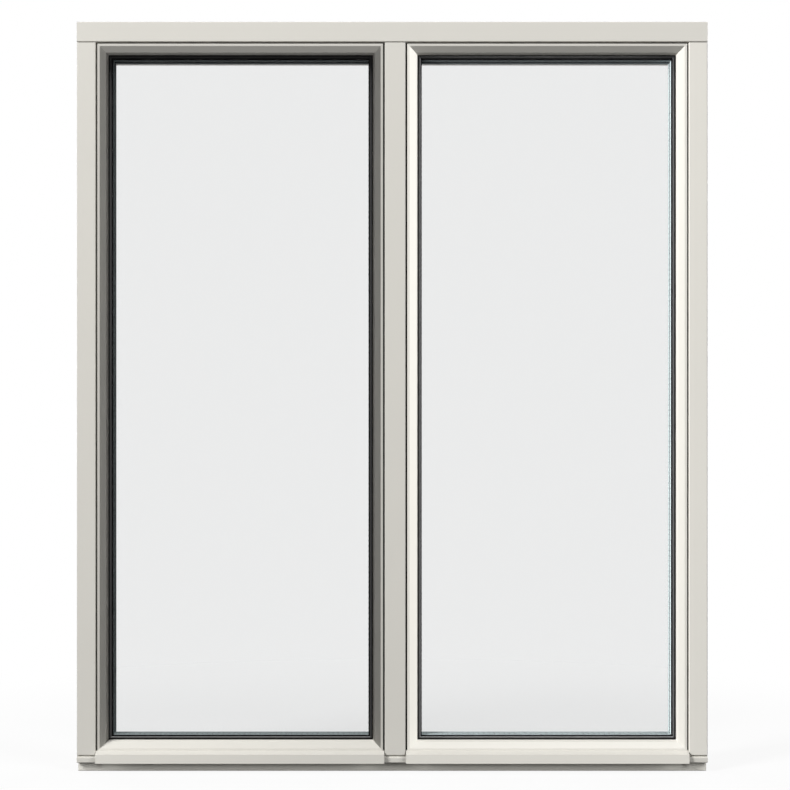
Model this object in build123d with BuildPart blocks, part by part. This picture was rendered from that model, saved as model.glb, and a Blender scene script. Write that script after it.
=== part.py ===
"""Fixed window with two lights: a painted timber frame with aluminium cladding outside.

Millimetres, +Z up. X runs along the window, -Y is the weather side and +Y is the room.
The origin is on the underside of the timber sill, midway along it and midway through it.
"""

import os

from build123d import *

# Overall frame
WIDTH = 1080.0
HEIGHT = 1285.0
TIMBER_DEPTH = 93.0
MULLION_OFFSET = 5.0

# Aluminium cladding, as open channels that stand on the front of the timber
CLAD_DEPTH = 12.0
CLAD_WALL = 1.8
CLAD_EDGE_RADIUS = 1.5
JAMB_FACE = 32.0
HEAD_FACE = 34.3
MULLION_FACE = 35.6
CLAD_SEAM = 1.2

# Sill cladding, a low channel with an upstand that closes the seam under the upright cladding
SILL_FACE_LOW = 16.3
SILL_FACE_HIGH = 25.4
SILL_FALL = 0.4
SILL_SEAM = 3.9
SILL_PROUD = 1.0
UPSTAND_DEPTH = 2.5
UPSTAND_GAP = 0.3

# Glazing beads, as bent strips with a flat lip, a slope and a steeper inner edge
BEAD_GAP = 3.0
BEAD_WALL = 1.6
BEAD_LIP = 4.0
BEAD_LIP_DEPTH = 1.5
BEAD_SLOPE_RUN = 10.0
BEAD_SLOPE_DROP = 6.0
BEAD_EDGE_RUN = 3.5
BEAD_EDGE_DROP = 4.5
BEAD_FLANGE = 5.0

# Sill bead, the same strip with a second slope below its lip and a drip nose
SILL_BEAD_TOP = 54.0
NOSE_PROUD = 9.5
NOSE_TOP = 31.6
NOSE_LOW = 16.3
NOSE_RETURN = 3.5
NOSE_GAP = 0.7

# Sealed units of three panes, and what holds them
PANE = 4.0
CAVITY = 14.0
GASKET_FACE = 7.0
GASKET_THICKNESS = 2.0
GASKET_GROOVE = 1.6
GASKET_GROOVE_DEPTH = 1.2
GASKET_BULB = 2.2
GASKET_LIP = 1.8
GASKET_LIP_THICKNESS = 0.5
INNER_GASKET = 3.0
GLASS_BITE = 12.5
GLASS_CLEARANCE = 4.5
SPACER_SHOWN = 0.5
SPACER_HEIGHT = 7.0
BLOCK_LENGTH = 80.0

# Timber stop on the room side, splayed away from the glass
STOP_SETBACK = 1.5
STOP_SPLAY = 8.0
ARRIS = 2.5

# Fixing holes through the jambs
FIXING_DIAMETER = 14.0
FIXING_INSET = 17.0
FIXING_END = 200.0

# Depths, measured from the front of the cladding
FRONT = -(CLAD_DEPTH + TIMBER_DEPTH / 2)
ROOM_DEPTH = CLAD_DEPTH + TIMBER_DEPTH
BEAD_BACK = BEAD_LIP_DEPTH + BEAD_SLOPE_DROP + BEAD_EDGE_DROP
GLASS_FRONT = BEAD_BACK + GASKET_THICKNESS
GLASS_BACK = GLASS_FRONT + 3 * PANE + 2 * CAVITY
STOP_DEPTH = GLASS_BACK + INNER_GASKET

# Widths across a bead, and the sight line measured from the line where a bead starts
BEAD_WIDTH = BEAD_LIP + BEAD_SLOPE_RUN + BEAD_EDGE_RUN
SIGHT_INSET = BEAD_WIDTH + GASKET_FACE
REBATE_INSET = SIGHT_INSET - GLASS_BITE - GLASS_CLEARANCE
STOP_INSET = SIGHT_INSET + SPACER_SHOWN - STOP_SETBACK

# Lines where the beads start
MULLION_X = MULLION_OFFSET
JAMB_LINE = JAMB_FACE + BEAD_GAP
HEAD_LINE = HEAD_FACE + BEAD_GAP
MULLION_LINE = MULLION_FACE / 2 + BEAD_GAP
SILL_LINE = SILL_BEAD_TOP - BEAD_WIDTH
CLAD_LOW = SILL_FACE_HIGH + SILL_FALL + SILL_SEAM
CLAD_HIGH = HEIGHT - HEAD_FACE - CLAD_SEAM

PARTS = "parts"
os.makedirs(PARTS, exist_ok=True)


def save(piece, label):
    """Labels a finished piece and writes it under its own name."""
    piece.part.label = label
    export_step(piece.part, f"{PARTS}/{label}.step")


def plan_face(points, low):
    """A face on a level plane, from a plan outline of (x, depth) points."""
    with BuildSketch(Plane.XY.offset(low)) as face:
        with BuildLine():
            Polyline([(x, FRONT + depth) for x, depth in points], close=True)
        make_face()
    return face.sketch


def end_face(points, left):
    """A face on an upright plane across the window, from an outline of (depth, z) points."""
    with BuildSketch(Plane.YZ.offset(left)) as face:
        with BuildLine():
            Polyline([(FRONT + depth, z) for depth, z in points], close=True)
        make_face()
    return face.sketch


# Timber frame: jambs run full height, and the head, sill and mullion are scribed to them


def timber_outline(line):
    """Outline of a frame member as (inset from its outer edge, depth)."""
    stop = line + STOP_INSET
    return [
        (0, CLAD_DEPTH),
        (line + REBATE_INSET, CLAD_DEPTH),
        (line + REBATE_INSET, STOP_DEPTH),
        (stop, STOP_DEPTH),
        (stop - STOP_SPLAY, ROOM_DEPTH),
        (0, ROOM_DEPTH),
    ]


jamb_faces = []
for side, hand in (("left", -1), ("right", 1)):
    outline = [(hand * (WIDTH / 2 - u), depth) for u, depth in timber_outline(JAMB_LINE)]
    jamb_face = plan_face(outline, 0)
    jamb_faces.append(jamb_face)
    with BuildPart() as jamb_timber:
        extrude(jamb_face, amount=HEIGHT)
        uprights = jamb_timber.edges().filter_by(Axis.Z)
        outer_front = uprights.group_by(Axis.Y)[0].sort_by(Axis.X)[-1 if hand > 0 else 0]
        low_front = jamb_timber.edges().filter_by(Axis.X).group_by(Axis.Z)[0].sort_by(Axis.Y)[0]
        fillet([outer_front, low_front] + uprights.group_by(Axis.Y)[-1], ARRIS)
        with BuildSketch(Plane.YZ.offset(hand * WIDTH / 2)):
            with Locations(
                (FRONT + ROOM_DEPTH - FIXING_INSET, FIXING_END),
                (FRONT + ROOM_DEPTH - FIXING_INSET, HEIGHT - FIXING_END),
            ):
                Circle(FIXING_DIAMETER / 2)
        extrude(amount=-hand * (JAMB_LINE + STOP_INSET), mode=Mode.SUBTRACT)
    save(jamb_timber, f"{side}_jamb_timber")

rail_end = WIDTH / 2 - JAMB_LINE - REBATE_INSET
rail_faces = []
for name, line, edge, inward in (("head", HEAD_LINE, HEIGHT, -1), ("sill", SILL_LINE, 0, 1)):
    outline = [(depth, edge + inward * u) for u, depth in timber_outline(line)]
    rail_face = end_face(outline, -rail_end)
    rail_faces.append(rail_face)
    with BuildPart() as rail_timber:
        extrude(rail_face, amount=2 * rail_end)
        for jamb_face in jamb_faces:
            extrude(jamb_face, amount=HEIGHT, mode=Mode.SUBTRACT)
        lengths = rail_timber.edges().filter_by(Axis.X)
        eased = lengths.group_by(Axis.Y)[-1].sort_by(Axis.Z)[-1 if inward > 0 else 0]
        low_front = lengths.group_by(Axis.Y)[0].sort_by(Axis.Z)[0]
        fillet([eased, low_front] if inward > 0 else [eased], ARRIS)
    save(rail_timber, f"{name}_timber")

half_outline = timber_outline(MULLION_LINE)[1:5]
outline = [(MULLION_X + u, depth) for u, depth in half_outline]
outline += [(MULLION_X - u, depth) for u, depth in reversed(half_outline)]
mullion_low = SILL_LINE + REBATE_INSET
mullion_face = plan_face(outline, mullion_low)
with BuildPart() as mullion_timber:
    extrude(mullion_face, amount=HEIGHT - HEAD_LINE - REBATE_INSET - mullion_low)
    for rail_face in rail_faces:
        extrude(rail_face, amount=2 * rail_end, mode=Mode.SUBTRACT)
    fillet(mullion_timber.edges().filter_by(Axis.Z).group_by(Axis.Y)[-1], ARRIS)
save(mullion_timber, "mullion_timber")


# Cladding: a folded channel with eased front edges


def channel_upright(middle, face, low, high):
    """An upright channel, open towards the timber."""
    back = FRONT + CLAD_DEPTH
    with BuildPart() as piece:
        with BuildSketch(Plane.XY.offset(low)) as section:
            with Locations((middle, FRONT)):
                Rectangle(face, CLAD_DEPTH, align=(Align.CENTER, Align.MIN))
            fillet(section.vertices().group_by(Axis.Y)[0], CLAD_EDGE_RADIUS)
            with Locations((middle, back)):
                Rectangle(
                    face - 2 * CLAD_WALL,
                    CLAD_DEPTH - CLAD_WALL,
                    align=(Align.CENTER, Align.MAX),
                    mode=Mode.SUBTRACT,
                )
        extrude(amount=high - low)
    return piece


for name, middle, face in (
    ("left_jamb", JAMB_FACE / 2 - WIDTH / 2, JAMB_FACE),
    ("mullion", MULLION_X, MULLION_FACE),
    ("right_jamb", WIDTH / 2 - JAMB_FACE / 2, JAMB_FACE),
):
    save(channel_upright(middle, face, CLAD_LOW, CLAD_HIGH), f"{name}_cladding")

with BuildPart() as head_cladding:
    with BuildSketch(Plane.YZ.offset(-WIDTH / 2)) as head_section:
        with Locations((FRONT, HEIGHT)):
            Rectangle(CLAD_DEPTH, HEAD_FACE, align=(Align.MIN, Align.MAX))
        fillet(head_section.vertices().group_by(Axis.X)[0], CLAD_EDGE_RADIUS)
        with Locations((FRONT + CLAD_DEPTH, HEIGHT - CLAD_WALL)):
            Rectangle(
                CLAD_DEPTH - CLAD_WALL,
                HEAD_FACE - 2 * CLAD_WALL,
                align=(Align.MAX, Align.MAX),
                mode=Mode.SUBTRACT,
            )
    extrude(amount=WIDTH)
save(head_cladding, "head_cladding")


def folded(points, wall):
    """Closed outline of a strip folded along the points, with its wall on their left."""
    corners = [Vector(*point) for point in points]
    ways = [(after - before).normalized() for before, after in zip(corners, corners[1:])]
    lefts = [way.rotate(Axis.Z, 90) for way in ways]
    inside = [corners[0] + lefts[0] * wall]
    for corner, before, after in zip(corners[1:-1], lefts, lefts[1:]):
        inside.append(corner + (before + after) * (wall / (1 + before.dot(after))))
    inside.append(corners[-1] + lefts[-1] * wall)
    return [(corner.X, corner.Y) for corner in corners + inside[::-1]]


sill_points = [
    (CLAD_DEPTH, CLAD_LOW - UPSTAND_GAP),
    (UPSTAND_DEPTH, CLAD_LOW - UPSTAND_GAP),
    (UPSTAND_DEPTH, SILL_FACE_HIGH + SILL_FALL),
    (-SILL_PROUD, SILL_FACE_HIGH),
    (-SILL_PROUD, SILL_FACE_LOW),
    (CLAD_DEPTH, SILL_FACE_LOW),
]
with BuildPart() as sill_cladding:
    with BuildSketch(Plane.YZ.offset(-WIDTH / 2)) as sill_section:
        with BuildLine():
            Polyline([(FRONT + depth, z) for depth, z in folded(sill_points, CLAD_WALL)], close=True)
        make_face()
        fillet(sill_section.vertices().group_by(Axis.X)[0], CLAD_EDGE_RADIUS)
    extrude(amount=WIDTH)
save(sill_cladding, "sill_cladding")


# Glazing beads: the same folded strip on all four sides of a light, mitred at the corners


def bead_outline():
    """Outline of a bead as (inset from its start, depth)."""
    points = [
        (0, CLAD_DEPTH),
        (0, BEAD_LIP_DEPTH),
        (BEAD_LIP, BEAD_LIP_DEPTH),
        (BEAD_LIP + BEAD_SLOPE_RUN, BEAD_LIP_DEPTH + BEAD_SLOPE_DROP),
        (BEAD_WIDTH, BEAD_BACK),
        (BEAD_WIDTH - BEAD_FLANGE, BEAD_BACK),
    ]
    return folded(points, BEAD_WALL)


def mitre(x, z, across, up):
    """Plane through a corner at 45 degrees, facing the given directions along X and Z."""
    return Plane(origin=(x, 0, z), z_dir=(across, 0, up))


def head_bead(left, right, high):
    """The bead under the head."""
    section = end_face([(depth, high - u) for u, depth in bead_outline()], left)
    with BuildPart() as piece:
        extrude(section, amount=right - left)
        split(bisect_by=mitre(left, high, 1, 1), keep=Keep.TOP)
        split(bisect_by=mitre(right, high, -1, 1), keep=Keep.TOP)
    return piece


def side_bead(edge, inward, high):
    """A bead beside a jamb or the mullion."""
    section = plan_face([(edge + inward * u, depth) for u, depth in bead_outline()], SILL_LINE)
    with BuildPart() as piece:
        extrude(section, amount=high - SILL_LINE)
        split(bisect_by=mitre(edge, high, inward, 1), keep=Keep.BOTTOM)
        split(bisect_by=mitre(edge, SILL_LINE, inward, -1), keep=Keep.BOTTOM)
    return piece


def sill_bead(left, right):
    """The bead over the sill, with a drip nose that runs on from cladding to cladding."""
    section = end_face([(depth, SILL_LINE + u) for u, depth in bead_outline()], left)
    nose_points = [
        (CLAD_DEPTH, SILL_LINE),
        (BEAD_LIP_DEPTH, SILL_LINE),
        (-NOSE_PROUD, NOSE_TOP),
        (-NOSE_PROUD, NOSE_LOW),
        (NOSE_RETURN - NOSE_PROUD, NOSE_LOW),
    ]
    spread = BEAD_GAP - NOSE_GAP
    nose = end_face(folded(nose_points, BEAD_WALL), left - spread)
    with BuildPart() as piece:
        extrude(section, amount=right - left)
        split(bisect_by=mitre(left, SILL_LINE, 1, -1), keep=Keep.TOP)
        split(bisect_by=mitre(right, SILL_LINE, -1, -1), keep=Keep.TOP)
        extrude(nose, amount=right - left + 2 * spread)
    return piece


# Glass units and their seals, each set out from the line where the beads start


def gasket_ring(left, right, high):
    """A gasket under the beads: a groove along the bead, a round bulb and a thin lip on the glass."""
    tongue = BEAD_WIDTH - BEAD_FLANGE
    groove = BEAD_WIDTH + GASKET_GROOVE
    groove_depth = BEAD_BACK + GASKET_GROOVE_DEPTH
    lip = SIGHT_INSET - GASKET_LIP
    middle = (left + right) / 2
    with BuildPart() as piece:
        with BuildLine() as route:
            Polyline(
                (middle, FRONT, SILL_LINE),
                (right, FRONT, SILL_LINE),
                (right, FRONT, high),
                (left, FRONT, high),
                (left, FRONT, SILL_LINE),
                close=True,
            )
        with BuildSketch(Plane.YZ.offset(middle)):
            with BuildLine():
                tongue_top = (FRONT + BEAD_BACK, SILL_LINE + tongue)
                groove_start = (FRONT + BEAD_BACK, SILL_LINE + BEAD_WIDTH)
                groove_foot = (FRONT + groove_depth, SILL_LINE + BEAD_WIDTH)
                bulb_start = (FRONT + groove_depth, SILL_LINE + groove)
                bulb_crest = (FRONT + groove_depth - GASKET_BULB, SILL_LINE + (groove + lip) / 2)
                bulb_end = (FRONT + GLASS_FRONT - GASKET_LIP_THICKNESS, SILL_LINE + lip)
                lip_top = (FRONT + GLASS_FRONT - GASKET_LIP_THICKNESS, SILL_LINE + SIGHT_INSET)
                lip_foot = (FRONT + GLASS_FRONT, SILL_LINE + SIGHT_INSET)
                tongue_foot = (FRONT + GLASS_FRONT, SILL_LINE + tongue)
                Polyline(tongue_top, groove_start, groove_foot, bulb_start)
                ThreePointArc(bulb_start, bulb_crest, bulb_end)
                Polyline(bulb_end, lip_top, lip_foot, tongue_foot, tongue_top)
            make_face()
        sweep(path=route.wire(), transition=Transition.RIGHT)
    return piece


def pane(left, right, high, depth):
    """One sheet of glass."""
    edge = SIGHT_INSET - GLASS_BITE
    low = SILL_LINE + edge
    with BuildPart() as piece:
        with BuildSketch(Plane.XZ.offset(-FRONT - depth)):
            with Locations(((left + right) / 2, low)):
                Rectangle(right - left - 2 * edge, high - edge - low, align=(Align.CENTER, Align.MIN))
        extrude(amount=-PANE)
    return piece


def band(left, right, high, outer, inner, depth, thickness):
    """A flat rectangular ring between two insets from the bead lines."""
    with BuildPart() as piece:
        with BuildSketch(Plane.XZ.offset(-FRONT - depth)):
            for inset, mode in ((outer, Mode.ADD), (inner, Mode.SUBTRACT)):
                low = SILL_LINE + inset
                with Locations(((left + right) / 2, low)):
                    Rectangle(
                        right - left - 2 * inset,
                        high - inset - low,
                        align=(Align.CENTER, Align.MIN),
                        mode=mode,
                    )
        extrude(amount=-thickness)
    return piece


def setting_blocks(left, right):
    """Two packers under a glass unit, at its quarter points."""
    edge = SIGHT_INSET - GLASS_BITE
    span = right - left - 2 * edge
    with BuildPart() as piece:
        with BuildSketch(Plane.XY.offset(SILL_LINE + REBATE_INSET)):
            with Locations(((left + right) / 2, FRONT + GLASS_FRONT)):
                with GridLocations(span / 2, 1, 2, 1):
                    Rectangle(BLOCK_LENGTH, GLASS_BACK - GLASS_FRONT, align=(Align.CENTER, Align.MIN))
        extrude(amount=GLASS_CLEARANCE)
    return piece


light_high = HEIGHT - HEAD_LINE
for light, left, right in (
    ("left_light", JAMB_LINE - WIDTH / 2, MULLION_X - MULLION_LINE),
    ("right_light", MULLION_X + MULLION_LINE, WIDTH / 2 - JAMB_LINE),
):
    save(head_bead(left, right, light_high), f"{light}_head_bead")
    save(side_bead(left, 1, light_high), f"{light}_left_bead")
    save(side_bead(right, -1, light_high), f"{light}_right_bead")
    save(sill_bead(left, right), f"{light}_sill_bead")
    save(gasket_ring(left, right, light_high), f"{light}_outer_gasket")

    depth = GLASS_FRONT
    spacer_edge = SIGHT_INSET + SPACER_SHOWN
    for sheet, spacer in (("outer", "outer"), ("middle", "inner"), ("inner", None)):
        save(pane(left, right, light_high, depth), f"{light}_{sheet}_pane")
        depth += PANE
        if spacer:
            spacer_ring = band(
                left, right, light_high, spacer_edge - SPACER_HEIGHT, spacer_edge, depth, CAVITY
            )
            save(spacer_ring, f"{light}_{spacer}_spacer")
            depth += CAVITY
    inner_gasket = band(
        left, right, light_high, SIGHT_INSET - GLASS_BITE, STOP_INSET, GLASS_BACK, INNER_GASKET
    )
    save(inner_gasket, f"{light}_inner_gasket")
    save(setting_blocks(left, right), f"{light}_setting_blocks")
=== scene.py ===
# %% [markdown]
# # A fixed window with two lights
# The window is a painted timber frame with aluminium cladding on its weather side. Its
# solids are already built, so this lesson dresses them: it sets the camera where the
# photographer stood, lights the window softly and gives each piece the finish that the
# real one has. -Y is the weather side, +Y is the room, and every length is in metres.

import math

import bpy
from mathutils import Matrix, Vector


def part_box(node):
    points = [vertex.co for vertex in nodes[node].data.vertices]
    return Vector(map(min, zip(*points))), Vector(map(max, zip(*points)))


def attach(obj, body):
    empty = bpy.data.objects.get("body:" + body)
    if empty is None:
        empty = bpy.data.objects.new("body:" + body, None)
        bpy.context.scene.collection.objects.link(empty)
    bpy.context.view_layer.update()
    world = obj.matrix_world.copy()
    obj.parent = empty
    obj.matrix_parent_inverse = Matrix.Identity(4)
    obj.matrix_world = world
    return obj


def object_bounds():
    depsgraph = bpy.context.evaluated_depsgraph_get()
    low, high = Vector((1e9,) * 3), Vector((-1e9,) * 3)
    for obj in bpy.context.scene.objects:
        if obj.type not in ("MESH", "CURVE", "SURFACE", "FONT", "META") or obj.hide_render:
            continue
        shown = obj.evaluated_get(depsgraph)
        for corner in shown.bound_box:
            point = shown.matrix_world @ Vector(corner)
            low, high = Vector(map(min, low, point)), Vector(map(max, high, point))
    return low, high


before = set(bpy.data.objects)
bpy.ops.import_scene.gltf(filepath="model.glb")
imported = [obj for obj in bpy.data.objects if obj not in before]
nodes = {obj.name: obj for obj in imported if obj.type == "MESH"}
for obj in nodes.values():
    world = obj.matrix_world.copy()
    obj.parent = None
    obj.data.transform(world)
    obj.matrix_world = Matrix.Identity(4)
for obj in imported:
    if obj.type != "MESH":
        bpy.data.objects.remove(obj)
cad_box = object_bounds()
print("loaded", len(nodes), "pieces, box", [tuple(round(c, 3) for c in corner) for corner in cad_box])

# %% [markdown]
# ## The camera
# The picture was taken square on, from a little below the middle of the window. A camera
# that is level and square on keeps the uprights upright, and a small lens shift then
# moves the window down to the middle of the frame, as an architect's camera does. The
# values are measured on the front of the cladding, which fixes how large a pixel is there.

# %% Camera
PICTURE = 790
PIXEL = 0.0017118
DISTANCE = 3.0
SENSOR = 0.036
VANISHING_X = 392.2
VANISHING_Y = 440.0
FOOT_Y = 772.3

clad_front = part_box("head_cladding")[0].y
camera_data = bpy.data.cameras.new("camera")
camera_data.sensor_width = SENSOR * 1000
camera_data.lens = camera_data.sensor_width * DISTANCE / (PICTURE * PIXEL)
camera_data.shift_x = (PICTURE / 2 - VANISHING_X) / PICTURE
camera_data.shift_y = (VANISHING_Y - PICTURE / 2) / PICTURE
camera = bpy.data.objects.new("camera", camera_data)
camera.location = (0, clad_front - DISTANCE, (FOOT_Y - VANISHING_Y) * PIXEL)
camera.rotation_euler = (math.radians(90), 0, 0)
bpy.context.scene.collection.objects.link(camera)
bpy.context.scene.camera = camera
bpy.context.scene.view_settings.view_transform = "Standard"
print("lens", round(camera_data.lens, 1), "mm, camera at", [round(c, 3) for c in camera.location])

# %% [markdown]
# ## Sums in a material
# A material is a net of nodes. Wiring each one by hand hides the idea, so a small class
# wraps a socket and turns ordinary sums into Math nodes: `1 - mask` adds a Subtract node.
# Every other kind of node comes from one method, which takes the node's type, its
# settings and what goes into its sockets.

# %% Shader helpers
class Wire:
    """A socket that can be used in sums."""

    def __init__(self, net, socket):
        self.net = net
        self.socket = socket

    def math(self, operation, first, second):
        return self.net.add("ShaderNodeMath", {"operation": operation}, {0: first, 1: second})

    def __add__(self, other):
        return self.math("ADD", self, other)

    def __radd__(self, other):
        return self.math("ADD", other, self)

    def __sub__(self, other):
        return self.math("SUBTRACT", self, other)

    def __rsub__(self, other):
        return self.math("SUBTRACT", other, self)

    def __mul__(self, other):
        return self.math("MULTIPLY", self, other)

    def __rmul__(self, other):
        return self.math("MULTIPLY", other, self)

    def __gt__(self, other):
        return self.math("GREATER_THAN", self, other)

    def __lt__(self, other):
        return self.math("LESS_THAN", self, other)

    def above(self, other):
        return self.math("MAXIMUM", self, other)

    def size(self):
        return self.math("ABSOLUTE", self, 0.0)


class Net:
    """The nodes of one material, world or geometry tree."""

    def __init__(self, tree, owner=None):
        self.tree = tree
        self.owner = owner
        self.tree.nodes.clear()

    def add(self, kind, settings=None, inputs=None, out=0):
        node = self.tree.nodes.new(kind)
        for name, value in (settings or {}).items():
            setattr(node, name, value)
        for name, value in (inputs or {}).items():
            if isinstance(value, Wire):
                self.tree.links.new(value.socket, node.inputs[name])
            else:
                node.inputs[name].default_value = value
        return Wire(self, node.outputs[out]) if node.outputs else None

    def place(self, stretch=(1, 1, 1)):
        here = self.add("ShaderNodeTexCoord", out="Object")
        return self.add("ShaderNodeMapping", None, {"Vector": here, "Scale": stretch})

    def noise(self, where, scale, detail=3.0, rough=0.5):
        inputs = {"Vector": where, "Scale": scale, "Detail": detail, "Roughness": rough}
        return self.add("ShaderNodeTexNoise", None, inputs, out="Fac")

    def mix(self, factor, first, second):
        inputs = {"Factor": factor, 6: first, 7: second}
        return self.add("ShaderNodeMix", {"data_type": "RGBA"}, inputs, out=2)

    def bump(self, height, depth, strength=1.0):
        return self.add("ShaderNodeBump", None, {"Height": height, "Distance": depth, "Strength": strength})

    def seen(self):
        """1 for what the camera sees, straight, in a reflection or through glass, and else 0."""
        rays = ("Is Camera Ray", "Is Glossy Ray", "Is Transmission Ray")
        straight, mirrored, through = (self.add("ShaderNodeLightPath", out=ray) for ray in rays)
        scattered = self.add("ShaderNodeLightPath", out="Diffuse Depth") > 0.5
        return straight.above(mirrored).above(through) * (1 - scattered)

    def surface(self, shader, kind="ShaderNodeOutputMaterial"):
        self.add(kind, None, {"Surface": shader})
        return self.owner


def finish_net(name):
    material = bpy.data.materials.new(name)
    material.use_nodes = True
    return Net(material.node_tree, material)


def shade(colour, factor):
    return tuple(channel * factor for channel in colour[:3]) + (1.0,)


print("helpers ready")

# %% [markdown]
# ## Floor and surround
# The window stands on a plain white floor in front of white. What the camera sees of the
# floor is mostly plain white, with a small share of real shading so that the window keeps
# its shadow. The surround is white to the eye and in reflections, but it lights the window
# only faintly.

# %% Floor and world
FLOOR_SIZE = 30.0
SHADOW_SHARE = 0.12
SHADOW_NEAR = 0.6
SHADOW_FAR = 1.5
FLOOR_BOUNCE = 0.15
FLOOR_WHITE = 0.85
FILL = 0.04

net = finish_net("floor_white")
seen = net.seen()
here = net.add("ShaderNodeTexCoord", out="Object")
away = net.add("ShaderNodeVectorMath", {"operation": "LENGTH"}, {0: here}, out="Value")
reach = {"Value": away, 1: SHADOW_NEAR, 2: SHADOW_FAR, 3: SHADOW_SHARE, 4: 0.0}
share = net.add("ShaderNodeMapRange", {"interpolation_type": "SMOOTHSTEP"}, reach)
grey = FLOOR_BOUNCE + seen * (FLOOR_WHITE - FLOOR_BOUNCE)
plain = net.add("ShaderNodeBsdfDiffuse", None, {"Color": grey})
white = net.add("ShaderNodeEmission", None, {"Color": (1, 1, 1, 1), "Strength": 1.0})
whiteness = seen * (1 - share)
floor_material = net.surface(net.add("ShaderNodeMixShader", None, {0: whiteness, 1: plain, 2: white}))

half = FLOOR_SIZE / 2
corners = [(-half, -half, 0), (half, -half, 0), (half, half, 0), (-half, half, 0)]
floor_mesh = bpy.data.meshes.new("floor")
floor_mesh.from_pydata(corners, [], [(0, 1, 2, 3)])
floor_mesh.materials.append(floor_material)
floor = bpy.data.objects.new("floor", floor_mesh)
bpy.context.scene.collection.objects.link(floor)

world = bpy.data.worlds.new("surround")
world.use_nodes = True
bpy.context.scene.world = world
net = Net(world.node_tree, world)
strength = net.seen() * (1 - FILL) + FILL
glow = net.add("ShaderNodeBackground", None, {"Color": (1, 1, 1, 1), "Strength": strength})
net.surface(glow, "ShaderNodeOutputWorld")
print("floor", FLOOR_SIZE, "m across, fill", FILL)

# %% [markdown]
# ## A lamp
# Every lamp is a soft square one at the same distance, placed by its azimuth and elevation
# round the window, so its watts alone say how bright it is. In the picture the beads of the
# left light are grey and the upright beads of the right light are white. A studio does that
# with flags, which keep a lamp off a piece, and with reflectors, which brighten one piece.
# Light linking does the same here: a lamp may skip some pieces, as behind a flag, or light
# only the pieces that it is named for.

# %% A lamp
WINDOW_MIDDLE = Vector((0, 0, (cad_box[0].z + cad_box[1].z) / 2))
LAMP_DISTANCE = 8.0
SOFT_WIDTH = 2.4


def lamp(name, azimuth, elevation, watts, width=SOFT_WIDTH, only=(), skip=()):
    """A soft square lamp that faces the window; azimuth 0 is the camera's side."""
    data = bpy.data.lights.new(name, "AREA")
    data.energy = watts
    data.size = width
    turn, lift = math.radians(azimuth), math.radians(elevation)
    way = Vector((math.sin(turn) * math.cos(lift), -math.cos(turn) * math.cos(lift), math.sin(lift)))
    light = bpy.data.objects.new(name, data)
    light.location = WINDOW_MIDDLE + way * LAMP_DISTANCE
    light.rotation_euler = (-way).to_track_quat("-Z", "Y").to_euler()
    bpy.context.scene.collection.objects.link(light)
    if only or skip:
        group = bpy.data.collections.new(f"{name}_reach")
        for node in only or skip:
            group.objects.link(nodes[node])
        for entry in group.collection_objects:
            entry.light_linking.link_state = "INCLUDE" if only else "EXCLUDE"
        light.light_linking.receiver_collection = group


print("lamps stand", LAMP_DISTANCE, "m from", [round(c, 3) for c in WINDOW_MIDDLE])

# %% [markdown]
# ## The two main lamps
# They stand in front, one to each side and well above, so the faces that look forward are
# lit by both. The flagged pieces are those that the picture shows in a light of their own:
# they are kept out of the main light, and the next step lights them.

# %% Main lamps
left_spacers = ["left_light_outer_spacer", "left_light_inner_spacer"]
right_spacers = ["right_light_outer_spacer", "right_light_inner_spacer"]
head_beads = ["left_light_head_bead", "right_light_head_bead"]
sill_beads = ["left_light_sill_bead", "right_light_sill_bead"]
seals = ["left_light_outer_gasket", "right_light_outer_gasket"]
left_upright_beads = ["left_light_left_bead", "left_light_right_bead"]
flagged = left_upright_beads + ["sill_timber"] + head_beads + sill_beads + seals
lamp("key_left", -46, 33, 530, width=2.0, skip=flagged)
lamp("key_right", 46, 33, 330, width=3.5, skip=flagged + left_spacers + ["right_jamb_cladding"])
print("flagged", len(flagged), "pieces")

# %% [markdown]
# ## Reflectors
# A slope goes dark where a lamp only grazes it and bright where a lamp looks straight at
# it. So the grey beads are lit along their slopes, which leaves most light on their lips,
# and the white beads are lit from the far side. Low lamps from both sides reach the strip
# of the sill under the drip nose, and a steep one greys the lower run of the gaskets.

# %% Reflectors
lamp("lip_left", -55, 33, 760, only=["left_light_left_bead"])
lamp("lip_right", 54, 33, 760, only=["left_light_right_bead"])
lamp("lip_head", 0, 52, 668, only=head_beads)
lamp("sill_left", -68, 14, 1340, only=["left_light_sill_bead"])
lamp("sill_right", 15, 32, 715, only=["right_light_sill_bead"])
lamp("kicker_left", -78, 8, 440, only=["right_light_right_bead"])
lamp("kicker_right", 78, 8, 520, only=["right_light_left_bead"])
lamp("seal_left", -85, 8, 2800, only=["right_light_outer_gasket"])
lamp("seal_right", 85, 8, 2800, only=["right_light_outer_gasket"])
lamp("seal_high", 0, 84, 3200, only=seals)
lamp("spacer_left", -48, 5, 3200, only=right_spacers)
lamp("spacer_high", 0, 50, 800, only=left_spacers + right_spacers)
lamp("foot_left", -70, 8, 590, only=["sill_timber"])
lamp("foot_right", 70, 8, 590, only=["sill_timber"])
lamp("foot", 0, 20, 220, width=3.2, only=["left_jamb_timber", "right_jamb_timber"])
lamp("jamb_right", -40, 10, 450, only=["right_jamb_cladding"])

# %% [markdown]
# ## The room side
# A low, broad pair behind the window lights the timber frame. It is flagged off the left
# spacers and the sill beads, which it would reach through the glass.

# %% Room lamps
lamp("room_left", -142, 12, 280, width=4.0, skip=left_spacers + sill_beads)
lamp("room_right", 142, 12, 280, width=4.0, skip=left_spacers + sill_beads)

# %% [markdown]
# ## Powder coat
# The cladding and the beads are aluminium with a satin powder coat. Baked powder never
# lies quite flat: it has a fine orange-peel skin of about a millimetre, and its gloss
# drifts a little over a hand's breadth. Noise at those two sizes gives both.

# %% Powder coat
COAT = (0.72, 0.70, 0.645, 1)


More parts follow.
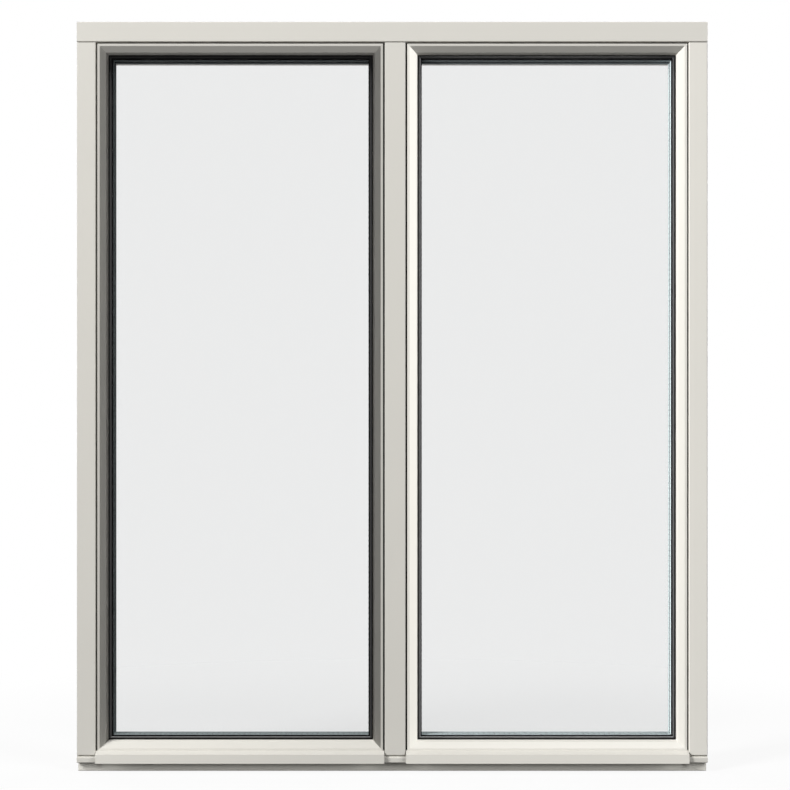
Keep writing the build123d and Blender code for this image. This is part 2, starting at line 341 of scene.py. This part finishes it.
def powder_coat(name):
    net = finish_net(name)
    where = net.place()
    drift = net.noise(where, 7.0, 2.0)
    peel = net.noise(where, 700.0, 2.0, 0.6)
    grain = net.noise(where, 2600.0, 1.0)
    colour = net.mix(drift, shade(COAT, 0.985), shade(COAT, 1.015))
    rough = 0.36 + drift * 0.06 + grain * 0.05
    skin = net.bump(peel + grain * 0.3, 0.00004, 0.5)
    inputs = {"Base Color": colour, "Roughness": rough, "Normal": skin, "Specular IOR Level": 0.3}
    return net.surface(net.add("ShaderNodeBsdfPrincipled", None, inputs))


cladding_coat = powder_coat("cladding_powder_coat")
bead_coat = powder_coat("bead_powder_coat")
print("coats", cladding_coat.name, bead_coat.name)

# %% [markdown]
# ## Painted timber
# The frame behind is pine under an opaque satin paint of the same colour. The grain still
# shows as faint long ridges, and the brush leaves finer lines the same way. Both follow
# the length of the piece, so the noise is stretched along it: up the jambs and the
# mullion, and across the head and the sill. The front that the cladding covers is painted
# near-black instead, as painted shade that darkens the narrow gaps beside the beads.
# Height and depth say where that is.

# %% Painted timber
PAINT = (0.72, 0.70, 0.645, 1)
# painted shade: near-black for the covered timber front, so the gaps beside the beads look dark
GAP_SHADE_DARK = (0.02, 0.02, 0.019, 1)
GAP_SHADE_SKIN = 0.0005

timber_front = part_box("sill_timber")[0].y
covered_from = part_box("sill_cladding")[0].z


def painted_timber(name, along):
    net = finish_net(name)
    stretch = tuple(0.03 if axis == along else 1.0 for axis in "XYZ")
    where = net.place(stretch)
    ridges = net.noise(where, 160.0, 4.0, 0.6)
    brush = net.noise(where, 900.0, 2.0)
    drift = net.noise(net.place(), 5.0, 2.0)
    paint = net.mix(ridges * 0.6 + drift * 0.4, shade(PAINT, 0.96), shade(PAINT, 1.03))
    here = net.add("ShaderNodeTexCoord", out="Object")
    depth = net.add("ShaderNodeSeparateXYZ", None, {0: here}, out="Y")
    height = net.add("ShaderNodeSeparateXYZ", None, {0: here}, out="Z")
    # painted shade mask: the timber front that the cladding covers, above the sill cladding
    painted_gap_shade = (depth < timber_front + GAP_SHADE_SKIN) * (height > covered_from)
    colour = net.mix(painted_gap_shade, paint, GAP_SHADE_DARK)
    rough = 0.40 + brush * 0.12
    skin = net.bump(ridges + brush * 0.4, 0.00012, 0.6)
    inputs = {"Base Color": colour, "Roughness": rough, "Normal": skin, "Specular IOR Level": 0.3}
    return net.surface(net.add("ShaderNodeBsdfPrincipled", None, inputs))


upright_paint = painted_timber("timber_paint_upright", "Z")
rail_paint = painted_timber("timber_paint_rail", "X")
print("paints", upright_paint.name, rail_paint.name)

# %% [markdown]
# ## Rubber
# The gaskets are extruded black rubber. It is never pure black: a faint bloom greys it in
# patches, and the die leaves a fine grain. The groove and the lip beside the round bulb
# are painted near-black as painted shade, while the bulb keeps the rubber's grey, so the
# depth below the bulb's crest chooses between the two.

# %% Rubber
SHADE_BELOW_CREST = 0.0017
BULB_DARK = (0.055, 0.055, 0.055, 1)
BULB_GREY = (0.08, 0.08, 0.08, 1)
# painted shade for the groove and the lip of the gasket
GROOVE_SHADE_BLACK = (0.003, 0.003, 0.003, 1)


def gasket_rubber():
    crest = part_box("left_light_outer_gasket")[0].y
    net = finish_net("gasket_rubber")
    where = net.place()
    bloom = net.noise(where, 30.0, 4.0, 0.6)
    grain = net.noise(where, 1800.0, 2.0)
    here = net.add("ShaderNodeTexCoord", out="Object")
    depth = net.add("ShaderNodeSeparateXYZ", None, {0: here}, out="Y")
    grey = net.mix(bloom, BULB_DARK, BULB_GREY)
    # painted shade: past the bulb's crest the groove and lip turn near-black
    colour = net.mix(depth > crest + SHADE_BELOW_CREST, grey, GROOVE_SHADE_BLACK)
    rough = 0.48 + bloom * 0.12
    skin = net.bump(grain, 0.00005, 0.6)
    inputs = {"Base Color": colour, "Roughness": rough, "Normal": skin, "Specular IOR Level": 0.06}
    return net.surface(net.add("ShaderNodeBsdfPrincipled", None, inputs))


rubber = gasket_rubber()
print("rubber", rubber.name)

# %% [markdown]
# ## Glass
# A pane is thin, flat and clear, so it hardly bends what is behind it. A transparent
# shader with a little tint, mixed with a mirror by Fresnel, gives that without the grain
# that real refraction brings to a small number of samples. It also lets the lamps through
# to the spacers and the sill behind. Only the side that a ray comes in by mirrors, because
# the far side would otherwise trap slanting light in the pane and darken it. The index is
# lower than real glass has, so that the panes mirror as faintly as they do in the picture.

# %% Glass
GLASS_TINT = (0.969, 0.970, 0.970, 1)
MIRROR_ROUGHNESS = 0.02
MIRROR_INDEX = 1.15


def clear_glass():
    net = finish_net("clear_glass")
    drift = net.noise(net.place(), 3.0, 1.0)
    wave = net.bump(drift, 0.0004, 0.05)
    clear = net.add("ShaderNodeBsdfTransparent", None, {"Color": GLASS_TINT})
    polish = {"Color": (1, 1, 1, 1), "Roughness": MIRROR_ROUGHNESS, "Normal": wave}
    mirror = net.add("ShaderNodeBsdfGlossy", None, polish)
    edge = net.add("ShaderNodeFresnel", None, {"IOR": MIRROR_INDEX})
    outside = 1 - net.add("ShaderNodeNewGeometry", out="Backfacing")
    return net.surface(net.add("ShaderNodeMixShader", None, {0: edge * outside, 1: clear, 2: mirror}))


glass = clear_glass()
print("glass", glass.name)

# %% [markdown]
# ## Spacer bars
# A warm-edge spacer has a matt grey face with fine lines along the bar. Where it meets
# each pane a line of black butyl seals it, which shows as a dark edge. The distance from
# the middle of the cavity says where that edge is.

# %% Spacer metal
BUTYL_LINE = 0.0010
BUTYL_BLACK = (0.012, 0.012, 0.013, 1)
METAL_DARK = (0.22, 0.255, 0.26, 1)
METAL_PALE = (0.27, 0.305, 0.31, 1)


def spacer_metal(name, node):
    low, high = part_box(node)
    middle = (low.y + high.y) / 2
    half_depth = (high.y - low.y) / 2
    net = finish_net(name)
    here = net.add("ShaderNodeTexCoord", out="Object")
    depth = net.add("ShaderNodeSeparateXYZ", None, {0: here}, out="Y")
    butyl = (depth - middle).size() > half_depth - BUTYL_LINE
    lines = net.noise(net.place((1, 40, 1)), 60.0, 3.0)
    metal = net.mix(lines, METAL_DARK, METAL_PALE)
    colour = net.mix(butyl, metal, BUTYL_BLACK)
    inputs = {
        "Base Color": colour,
        "Specular IOR Level": 0.0,
        "Roughness": 0.44 + lines * 0.12,
        "Normal": net.bump(lines, 0.00005, 0.5),
    }
    return net.surface(net.add("ShaderNodeBsdfPrincipled", None, inputs))


outer_spacer_metal = spacer_metal("outer_spacer_metal", "left_light_outer_spacer")
inner_spacer_metal = spacer_metal("inner_spacer_metal", "left_light_inner_spacer")
print("spacers", outer_spacer_metal.name, inner_spacer_metal.name)

# %% [markdown]
# ## Packers
# Each glass unit stands on two short blocks of moulded plastic, deep in the frame. They
# hardly show, so a dark plastic with the fine grain of its mould is enough.

# %% Packer plastic
PACKER_DARK = (0.045, 0.045, 0.05, 1)
PACKER_PALE = (0.06, 0.06, 0.065, 1)


def packer_plastic():
    net = finish_net("packer_plastic")
    grain = net.noise(net.place(), 1200.0, 3.0)
    colour = net.mix(grain, PACKER_DARK, PACKER_PALE)
    inputs = {"Base Color": colour, "Roughness": 0.5 + grain * 0.1, "Normal": net.bump(grain, 0.00005, 0.5)}
    return net.surface(net.add("ShaderNodeBsdfPrincipled", None, inputs))


packer = packer_plastic()
print("packer", packer.name)

# %% [markdown]
# ## Giving each piece its finish
# The names say what each piece is, so a short table of name endings gives the finish.

# %% Assign the finishes
FINISHES = {
    "_cladding": cladding_coat,
    "_bead": bead_coat,
    "_gasket": rubber,
    "_pane": glass,
    "_outer_spacer": outer_spacer_metal,
    "_inner_spacer": inner_spacer_metal,
    "_setting_blocks": packer,
    "jamb_timber": upright_paint,
    "mullion_timber": upright_paint,
    "head_timber": rail_paint,
    "sill_timber": rail_paint,
}
for name, piece in nodes.items():
    finish = next(material for ending, material in FINISHES.items() if name.endswith(ending))
    piece.data.materials.clear()
    piece.data.materials.append(finish)
print("finished", len(nodes), "pieces")

# %% [markdown]
# ## Perforations in the spacer bars
# The face of a spacer that looks into the cavity has two rows of tiny slits, through
# which the drying beads inside take up moisture. Drawing thousands of slits by hand is
# hopeless, so a geometry tree walks round the bar, puts a pair of slits at every step and
# turns each pair to face inwards.

# %% Slit tree
SLIT_INPUTS = {
    "Width": "NodeSocketFloat",
    "Height": "NodeSocketFloat",
    "Centre": "NodeSocketVector",
    "Pitch": "NodeSocketFloat",
    "Slit Size": "NodeSocketVector",
    "Row Gap": "NodeSocketFloat",
    "Finish": "NodeSocketMaterial",
}


def slit_tree():
    tree = bpy.data.node_groups.new("spacer_slits", "GeometryNodeTree")
    for name, kind in SLIT_INPUTS.items():
        tree.interface.new_socket(name, in_out="INPUT", socket_type=kind)
    tree.interface.new_socket("Geometry", in_out="OUTPUT", socket_type="NodeSocketGeometry")
    net = Net(tree)
    given = {name: net.add("NodeGroupInput", out=name) for name in SLIT_INPUTS}
    size = {"Width": given["Width"], "Height": given["Height"]}
    loop = net.add("GeometryNodeCurvePrimitiveQuadrilateral", {"mode": "RECTANGLE"}, size)
    stand = {"Geometry": loop, "Rotation": (math.radians(90), 0, 0), "Translation": given["Centre"]}
    loop = net.add("GeometryNodeTransform", None, stand)
    walk = {"Curve": loop, "Length": given["Pitch"]}
    steps = net.add("GeometryNodeCurveToPoints", {"mode": "LENGTH"}, walk)
    along = Wire(net, steps.socket.node.outputs["Tangent"])
    inward = net.add("ShaderNodeVectorMath", {"operation": "CROSS_PRODUCT"}, {0: along, 1: (0, 1, 0)})
    axes = {"primary_axis": "Z", "secondary_axis": "X"}
    turn = net.add("FunctionNodeAxesToRotation", axes, {0: inward, 1: along})
    slit = net.add("GeometryNodeMeshCylinder", None, {"Vertices": 8, "Radius": 0.5, "Depth": 1.0})
    slit = net.add("GeometryNodeTransform", None, {"Geometry": slit, "Scale": given["Slit Size"]})
    rows = net.add("GeometryNodeJoinGeometry")
    for side in (-0.5, 0.5):
        shift = net.add("ShaderNodeCombineXYZ", None, {"Y": given["Row Gap"] * side})
        row = net.add("GeometryNodeTransform", None, {"Geometry": slit, "Translation": shift})
        tree.links.new(row.socket, rows.socket.node.inputs[0])
    spread = {"Points": steps, "Instance": rows, "Rotation": turn}
    slits = net.add("GeometryNodeInstanceOnPoints", None, spread)
    slits = net.add("GeometryNodeRealizeInstances", None, {"Geometry": slits})
    painted = {"Geometry": slits, "Material": given["Finish"]}
    slits = net.add("GeometryNodeSetMaterial", None, painted)
    net.add("NodeGroupOutput", None, {"Geometry": slits})
    return tree


slits = slit_tree()
sockets = {item.name: item.identifier for item in slits.interface.items_tree if item.in_out == "INPUT"}
print("slit tree with", len(slits.nodes), "nodes and the inputs", list(sockets))

# %% [markdown]
# ## Slits on each spacer
# A slit is a dark hole, so its finish is nearly black. Each of the four spacers gets its
# own slits, made by the same tree from that spacer's box. The result is turned into a
# plain mesh, because the export drops instances.

# %% Slits on each spacer
SPACER_BAR = 0.007
SLIT_PITCH = 0.009
SLIT_SIZE = (0.0028, 0.0005, 0.0002)
SLIT_ROW_GAP = 0.005
# painted shade: the slits are thin discs whose near-black stands for the shade inside the holes
SLIT_SHADE_BLACK = (0.015, 0.016, 0.016, 1)
SLIT_SHADE_GREY = (0.03, 0.032, 0.032, 1)


# painted shade: near-black discs stand for the dark inside the slits
def slit_painted_shade():
    net = finish_net("spacer_slit_painted_shade")
    grain = net.noise(net.place(), 900.0, 2.0)
    colour = net.mix(grain, SLIT_SHADE_BLACK, SLIT_SHADE_GREY)
    return net.surface(net.add("ShaderNodeBsdfPrincipled", None, {"Base Color": colour, "Roughness": 0.7}))


slit_shade_finish = slit_painted_shade()
for node in left_spacers + right_spacers:
    low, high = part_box(node)
    middle = (low + high) / 2
    values = {
        "Width": high.x - low.x - 2 * SPACER_BAR,
        "Height": high.z - low.z - 2 * SPACER_BAR,
        "Centre": middle,
        "Pitch": SLIT_PITCH,
        "Slit Size": SLIT_SIZE,
        "Row Gap": SLIT_ROW_GAP,
        "Finish": slit_shade_finish,
    }
    maker = bpy.data.objects.new("slit_maker", bpy.data.meshes.new("slit_maker"))
    bpy.context.scene.collection.objects.link(maker)
    modifier = maker.modifiers.new("slits", "NODES")
    modifier.node_group = slits
    for name, value in values.items():
        modifier[sockets[name]] = value
    ready = maker.evaluated_get(bpy.context.evaluated_depsgraph_get())
    mesh = bpy.data.meshes.new_from_object(ready)
    bpy.data.objects.remove(maker)
    mesh.materials.clear()
    mesh.materials.append(slit_shade_finish)
    piece = bpy.data.objects.new(f"{node}_slits", mesh)
    bpy.context.scene.collection.objects.link(piece)
    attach(piece, "root")
    print(piece.name, len(mesh.polygons), "faces", mesh.materials.keys())
